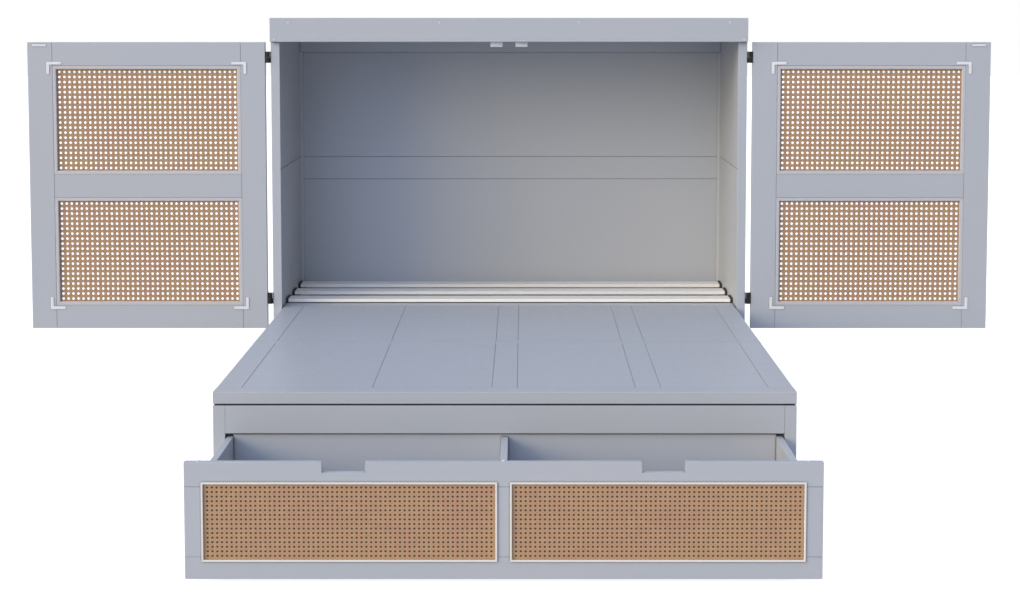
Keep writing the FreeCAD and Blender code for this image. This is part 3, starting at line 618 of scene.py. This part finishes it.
def caneSheet(name, wide, high, columns, rows, margin, share):
    # doubled uprights and doubled level strands, laced by single diagonals midway between their
    # crossings, which leaves one round hole in each square. Made flat in XY, then stood up
    pitchX, pitchY = wide / columns, high / rows
    width, apart, lift = strand["wide"] * share, strand["apart"] * share, strand["lift"] * share
    extraX, extraY, spare = 2, 2, 4 # squares beyond the edge and further diagonals, cut off below
    strips = []
    longX, longY = (columns + 2 * extraX) * pitchX, (rows + 2 * extraY) * pitchY
    for pair, phase in ((-1, 0), (1, 2)):
        for odd in (0, 1):
            heights = [lift, 0, -lift, 0]
            start = (phase + 2 * odd) % 4
            heights = heights[start:] + heights[:start]
            upright = addRibbon("upright", longY, width, 2 * (rows + 2 * extraY), heights)
            turned(upright, 90, (-wide / 2 + (odd - extraX) * pitchX + pair * apart / 2, 0, 0))
            repeat(upright, (2 * pitchX, 0, 0), (columns + 2 * extraX) // 2 + 1)
            level = addRibbon("level", longX, width, 2 * (columns + 2 * extraX),
                              [-value for value in heights])
            turned(level, 0, (0, -high / 2 + (odd - extraY) * pitchY + pair * apart / 2, 0))
            repeat(level, (0, 2 * pitchY, 0), (rows + 2 * extraY) // 2 + 1)
            strips += [upright, level]
    slope = math.degrees(math.atan2(pitchY, pitchX))
    halfStep = math.hypot(pitchX, pitchY) / 2
    steps = 2 * (rows + 2 * extraY)
    lines = columns + rows + 2 * extraY + spare
    for side in (1, -1):
        diagonal = addRibbon("diagonal", steps * halfStep, width, steps,
                             [2 * lift * side, -2 * lift * side])
        # its middle goes through a point on an upright, half a square from a crossing
        firstX = -wide / 2 - (rows / 2 + extraY) * pitchX
        turned(diagonal, slope * side, (firstX, 0 if rows % 2 else pitchY / 2, 0))
        repeat(diagonal, (pitchX, 0, 0), lines)
        strips.append(diagonal)
    sheet = joinUp(name, strips)
    for place, normal in (((wide / 2 + margin, 0, 0), (1, 0, 0)), ((-wide / 2 - margin, 0, 0), (-1, 0, 0)),
                          ((0, high / 2 + margin, 0), (0, 1, 0)), ((0, -high / 2 - margin, 0), (0, -1, 0))):
        cutAway(sheet, place, normal, fill=False)
    solid = sheet.modifiers.new("thickness", "SOLIDIFY")
    solid.thickness = strand["thick"] * share
    solid.offset = 0
    applyAll(sheet)
    sheet.rotation_euler = (math.pi / 2, 0, 0)
    settle(sheet)
    return sheet


doorCane = {"columns": 36, "rows": 20, "bead": 0.0125, "margin": 0.009}
drawerCane = {"columns": 60, "rows": 16, "pitchX": 0.0121, "pitchZ": 0.01166, "share": 0.72}


def doorOpenings(side):
    # the two places, low and high corner in X and Z, that hold cane in a door
    low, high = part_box(side + "_door_cane_panels")
    railLow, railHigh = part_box(side + "_door_mid_rail")
    return {"lower": (low.x, high.x, low.z, railLow.z), "upper": (low.x, high.x, railHigh.z, high.z)}


def layDoorCane():
    left, right, bottom, top = doorOpenings("left")["lower"]
    lap = 2 * doorCane["bead"]
    pattern = caneSheet("cane", right - left - lap, top - bottom - lap, doorCane["columns"],
                        doorCane["rows"], doorCane["margin"], 1.0)
    for side in ("left", "right"):
        node = side + "_door_cane_panels"
        low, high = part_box(node)
        for level, (x0, x1, z0, z1) in doorOpenings(side).items():
            sheet = copyOf(pattern, "%s_door_%s_cane" % (side, level),
                           ((x0 + x1) / 2, (low.y + high.y) / 2, (z0 + z1) / 2))
            dress(sheet, finish["doorCane"], side + "_door", [node])
    print("door cane woven:", len(pattern.data.polygons), "faces a sheet")
    bpy.data.objects.remove(pattern)


def layDrawerCane():
    low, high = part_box("drawer_cane_panels")
    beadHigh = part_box("drawer_bead_frames")[1]
    inner = bead["drawerInner"] + beadHigh.x - high.x # the panel's edge at the middle stile
    wide = drawerCane["columns"] * drawerCane["pitchX"]
    tall = drawerCane["rows"] * drawerCane["pitchZ"]
    margin = (high.x - inner - wide) / 2
    pattern = caneSheet("cane", wide, tall, drawerCane["columns"], drawerCane["rows"], margin,
                        drawerCane["share"])
    cutAway(pattern, (0, 0, (high.z - low.z) / 2), (0, 0, 1), fill=False)
    cutAway(pattern, (0, 0, (low.z - high.z) / 2), (0, 0, -1), fill=False)
    for side, sign in (("left", -1), ("right", 1)):
        sheet = copyOf(pattern, side + "_drawer_cane",
                       (sign * (high.x + inner) / 2, (low.y + high.y) / 2, (low.z + high.z) / 2))
        dress(sheet, finish["drawerCane"], "drawer", ["drawer_cane_panels"])
    print("drawer cane woven:", len(pattern.data.polygons), "faces a sheet")
    bpy.data.objects.remove(pattern)


layDoorCane()
layDrawerCane()


# mitred beads round the cane
def beadStick(name, length, wide, y0, y1, showing, roundness):
    # one stick along X with its outer edge at z 0, ends cut to a mitre. showing is -1 for a face that
    # looks to the front
    item = addBlock(name, (-length / 2, y0, 0), (length / 2, y1, wide))
    cutAway(item, (-length / 2 + bead["mitreGap"], 0, 0), (-1, 0, 1))
    cutAway(item, (length / 2 - bead["mitreGap"], 0, 0), (1, 0, 1))
    face = y0 if showing < 0 else y1
    bevelWhere(item, roundness, 4, lambda middle, direction: isAlong(direction.x)
               and abs(middle.y - face) < edgeRuns["near"] and middle.z > wide / 2)
    bevelWhere(item, bead["arris"], 2, lambda middle, direction: isAlong(direction.x)
               and abs(middle.y - face) < edgeRuns["near"] and middle.z < wide / 2)
    return item


def beadFrame(name, x0, x1, z0, z1, wide, y0, y1, showing, roundness):
    sticks = []
    across, upright = x1 - x0, z1 - z0
    for index, (length, reach) in enumerate(((across, upright), (upright, across)) * 2):
        stick = beadStick(name, length, wide, y0, y1, showing, roundness)
        stick.data.transform(Matrix.Translation((0, 0, -reach / 2)))
        stick.data.transform(Matrix.Rotation(math.radians(90 * index), 4, "Y"))
        stick.data.transform(Matrix.Translation(((x0 + x1) / 2, 0, (z0 + z1) / 2)))
        sticks.append(stick)
    return joinUp(name, sticks)


def fitDoorBeads():
    for side in ("left", "right"):
        node = side + "_door_cane_beads"
        low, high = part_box(node)
        caneLow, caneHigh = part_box(side + "_door_cane_panels")
        for level, (x0, x1, z0, z1) in doorOpenings(side).items():
            for face, y0, y1, showing in (("inner", low.y, caneLow.y, -1),
                                          ("outer", caneHigh.y, high.y, 1)):
                ring = beadFrame("%s_door_%s_%s_bead" % (side, level, face), x0, x1, z0, z1,
                                    doorCane["bead"], y0, y1, showing, bead["round"])
                dress(ring, finish["beadPaint"], side + "_door", [node])


def fitDrawerBeads():
    low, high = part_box("drawer_bead_frames")
    inner = bead["drawerInner"]
    for side, x0, x1 in (("left", low.x, -inner), ("right", inner, high.x)):
        ring = beadFrame(side + "_drawer_bead", x0, x1, low.z, high.z, bead["drawerWide"], low.y,
                            high.y, -1, bead["drawerRound"])
        dress(ring, finish["cream"], "drawer", ["drawer_bead_frames"])


fitDoorBeads()
fitDrawerBeads()
print("beads mitred and fitted")


# screws, brackets and the small fittings
screw = {"radius": 0.0024, "dome": 0.0006, "roundShare": 0.9, "slotWide": 0.0005, "slotShare": 0.55,
         "slotFloorShare": 0.2}


def crossHead(name):
    # a raised countersunk head with a cross recess, centred at the origin and facing the front
    dome = screw["dome"]
    item = addDisc(name, (0, 0, 0), screw["radius"], 2 * dome, 24)
    bevelWhere(item, dome * screw["roundShare"], 3, lambda middle, direction: isAcross(direction.y)
               and middle.y < 0)
    reach, half = screw["radius"] * screw["slotShare"], screw["slotWide"] / 2
    for wide, tall in ((reach, half), (half, reach)):
        cutter = addBlock("cutter", (-wide, -2 * dome, -tall), (wide, -dome * screw["slotFloorShare"], tall))
        slot = item.modifiers.new("slot", "BOOLEAN")
        slot.operation, slot.object, slot.solver = "DIFFERENCE", cutter, "EXACT"
        applyAll(item)
        bpy.data.objects.remove(cutter)
    return item


brackets = {"longArm": 0.051, "shortArm": 0.042, "wide": 0.010, "round": 0.0028, "arris": 0.0006,
            "screwIn": 0.007}
strike = {"round": 0.0015, "arris": 0.0005}


def bracket(name, corner, longArm, shortArm, wide, y0, y1):
    # an L of flat moulded strip with rounded ends and two screws
    x, z = corner
    across = addBlock(name, (x, y0, z), (x + longArm, y1, z + wide))
    upright = addBlock(name, (x, y0, z), (x + wide, y1, z + shortArm))
    join = across.modifiers.new("join", "BOOLEAN")
    join.operation, join.object, join.solver = "UNION", upright, "EXACT"
    applyAll(across)
    bpy.data.objects.remove(upright)
    makeActive(across)
    bpy.ops.object.mode_set(mode="EDIT")
    bpy.ops.mesh.select_all(action="SELECT")
    bpy.ops.mesh.dissolve_limited(angle_limit=math.radians(eased["flatWithin"]))
    bpy.ops.object.mode_set(mode="OBJECT")
    bevelWhere(across, brackets["round"], 4, lambda middle, direction: isAlong(direction.y))
    bevelWhere(across, brackets["arris"], 2, lambda middle, direction: isAcross(direction.y)
               and middle.y < (y0 + y1) / 2)
    head = crossHead("head")
    head.data.transform(Matrix.Translation((x + longArm - brackets["screwIn"], y0, z + wide / 2)))
    reach = brackets["screwIn"] + wide / 2
    return joinUp(name, [across, head, copyOf(head, "head", (reach - longArm, 0, shortArm - reach))])


def fitBrackets():
    for side in ("left", "right"):
        node = side + "_door_corner_brackets"
        low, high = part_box(node)
        one = bracket("bracket", (0, 0), brackets["longArm"], brackets["shortArm"], brackets["wide"],
                      low.y, high.y)
        for name, x, z, mirrorX, mirrorZ in (("lower_left", low.x, low.z, False, False),
                                             ("lower_right", high.x, low.z, True, False),
                                             ("upper_left", low.x, high.z, False, True),
                                             ("upper_right", high.x, high.z, True, True)):
            piece = copyOf(one, "%s_door_%s_bracket" % (side, name), (x, 0, z), mirrorX, mirrorZ)
            dress(piece, finish["bracket"], side + "_door", [node])
        bpy.data.objects.remove(one)
        strikeNode = side + "_door_strike_plate"
        plate = addBlock(strikeNode + "_dressed", *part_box(strikeNode))
        bevelWhere(plate, strike["round"], 3, lambda middle, direction: isAlong(direction.y))
        bevelWhere(plate, strike["arris"], 2, lambda middle, direction: isAcross(direction.y))
        dress(plate, finish["bracket"], side + "_door", [strikeNode])


hinges = {"upperRise": 0.042, "lowerRise": 0.011}


def raiseHinges():
    # the photograph shows the hinges higher than the CAD has them. Their axis stays
    for node in ("cabinet_hinge_leaves", "left_door_hinge_leaves", "right_door_hinge_leaves"):
        item = bpy.data.objects.new(node + "_raised", nodes[node].data.copy())
        bpy.context.collection.objects.link(item)
        low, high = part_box(node)
        for vertex in item.data.vertices:
            upper = vertex.co.z > (low.z + high.z) / 2
            vertex.co.z += hinges["upperRise"] if upper else hinges["lowerRise"]
        dress(item, finish["steel"], body_of(nodes[node])[0], [node])


catch = {"start": 0.022, "wide": 0.041, "round": 0.0022, "arris": 0.0008, "noseOut": 0.0015,
         "noseStart": 0.25, "noseDeep": 0.003, "noseRise": 0.0035, "noseDrop": 0.0045,
         "noseRound": 0.0006}


def fitCatches():
    low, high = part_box("magnetic_catches")
    start, wide = catch["start"], catch["wide"]
    for side, x0 in (("left", -start - wide), ("right", start)):
        case = addBlock("catch", (x0, low.y + catch["noseOut"], low.z), (x0 + wide, high.y, high.z))
        bevelWhere(case, catch["round"], 3, lambda middle, direction: isAlong(direction.z))
        bevelWhere(case, catch["arris"], 2, lambda middle, direction: isAcross(direction.z)
                   and middle.z < low.z + edgeRuns["near"])
        inset = wide * catch["noseStart"]
        nose = addBlock("nose", (x0 + inset, low.y, low.z + catch["noseRise"]),
                        (x0 + wide - inset, low.y + catch["noseDeep"], high.z - catch["noseDrop"]))
        bevelAll(nose, catch["noseRound"], 2)
        piece = joinUp(side + "_magnetic_catch", [case, nose])
        dress(piece, finish["plastic"], "cabinet", ["magnetic_catches"])


caps = {"radius": 0.0055, "proud": 0.0008, "roundShare": 0.6, "xs": (0.235, 0.746), "topDrop": 0.015,
        "cornerX": 0.793, "cornerRise": 0.008}


def screwCap(name, centre):
    item = addDisc(name, centre, caps["radius"], 2 * caps["proud"], 28)
    return bevelAll(item, caps["proud"] * caps["roundShare"], 2)


def fitScrewCaps():
    low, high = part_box("top_fascia")
    places = [(sign * x, high.z - caps["topDrop"]) for x in caps["xs"] for sign in (-1, 1)]
    places += [(sign * caps["cornerX"], low.z + caps["cornerRise"]) for sign in (-1, 1)]
    items = [screwCap("cap", (x, low.y, z)) for x, z in places]
    dress(joinUp("fascia_screw_caps", items), finish["cap"], "cabinet")


bumpers = {"xs": (-0.768, 0.0, 0.768), "radius": 0.0045, "tall": 0.004, "inset": 0.006, "round": 0.0012}


def fitBumpers():
    # white buffers on the drawer front's top edge, where it closes under the platform
    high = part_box("drawer_top_rail")[1]
    items = []
    for x in bumpers["xs"]:
        disc = addDisc("bumper", (x, high.y - bumpers["inset"], high.z), bumpers["radius"],
                       bumpers["tall"], 24, "Z")
        items.append(bevelAll(disc, bumpers["round"], 3))
    dress(joinUp("drawer_bumpers", items), finish["plastic"], "drawer")


raiseHinges()
fitBrackets()
fitCatches()
fitScrewCaps()
fitBumpers()
print("brackets, catches and caps fitted")


# slats and their rubber ends
slats = {"wide": 0.080, "count": 3, "crown": 0.001, "round": 0.0012, "capLong": 0.009, "capWall": 0.0025,
         "capCrownShare": 0.6, "capRound": 0.001}


def slatBlank(name, x0, x1, y0, y1, z0, z1, crown, edge):
    # a long strip, rounded along both sides and slightly crowned across its top
    item = addBlock(name, (x0, y0, z0), (x1, y1, z1))
    bevelWhere(item, edge, 5, lambda middle, direction: isAlong(direction.x))
    half = (y1 - y0) / 2
    for vertex in item.data.vertices:
        across = (vertex.co.y - (y0 + y1) / 2) / half
        if vertex.co.z > (z0 + z1) / 2:
            vertex.co.z -= crown * across * across
    return item


def fitSlats():
    low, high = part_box("bed_slats")
    capLow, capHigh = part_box("slat_end_caps")
    wall, wide = slats["capWall"], slats["wide"]
    pitch = (high.y - low.y - wide) / (slats["count"] - 1)
    for index in range(slats["count"]):
        y = low.y + index * pitch
        slat = slatBlank("bed_slat_%d" % (index + 1), low.x, high.x, y, y + wide, low.z, high.z,
                         slats["crown"], slats["round"])
        dress(slat, finish["slat"], "cabinet", ["bed_slats"], angle=60)
        for side, x0, x1 in (("left", capLow.x, capLow.x + slats["capLong"]),
                             ("right", capHigh.x - slats["capLong"], capHigh.x)):
            cap = slatBlank("%s_slat_cap_%d" % (side, index + 1), x0, x1, y - wall, y + wide + wall,
                            capLow.z, capHigh.z, slats["crown"] * slats["capCrownShare"],
                            slats["round"] + wall)
            bevelWhere(cap, slats["capRound"], 2, lambda middle, direction: isAcross(direction.x))
            dress(cap, finish["rubber"], "cabinet", ["slat_end_caps"], angle=60)


fitSlats()
print("slats laid")
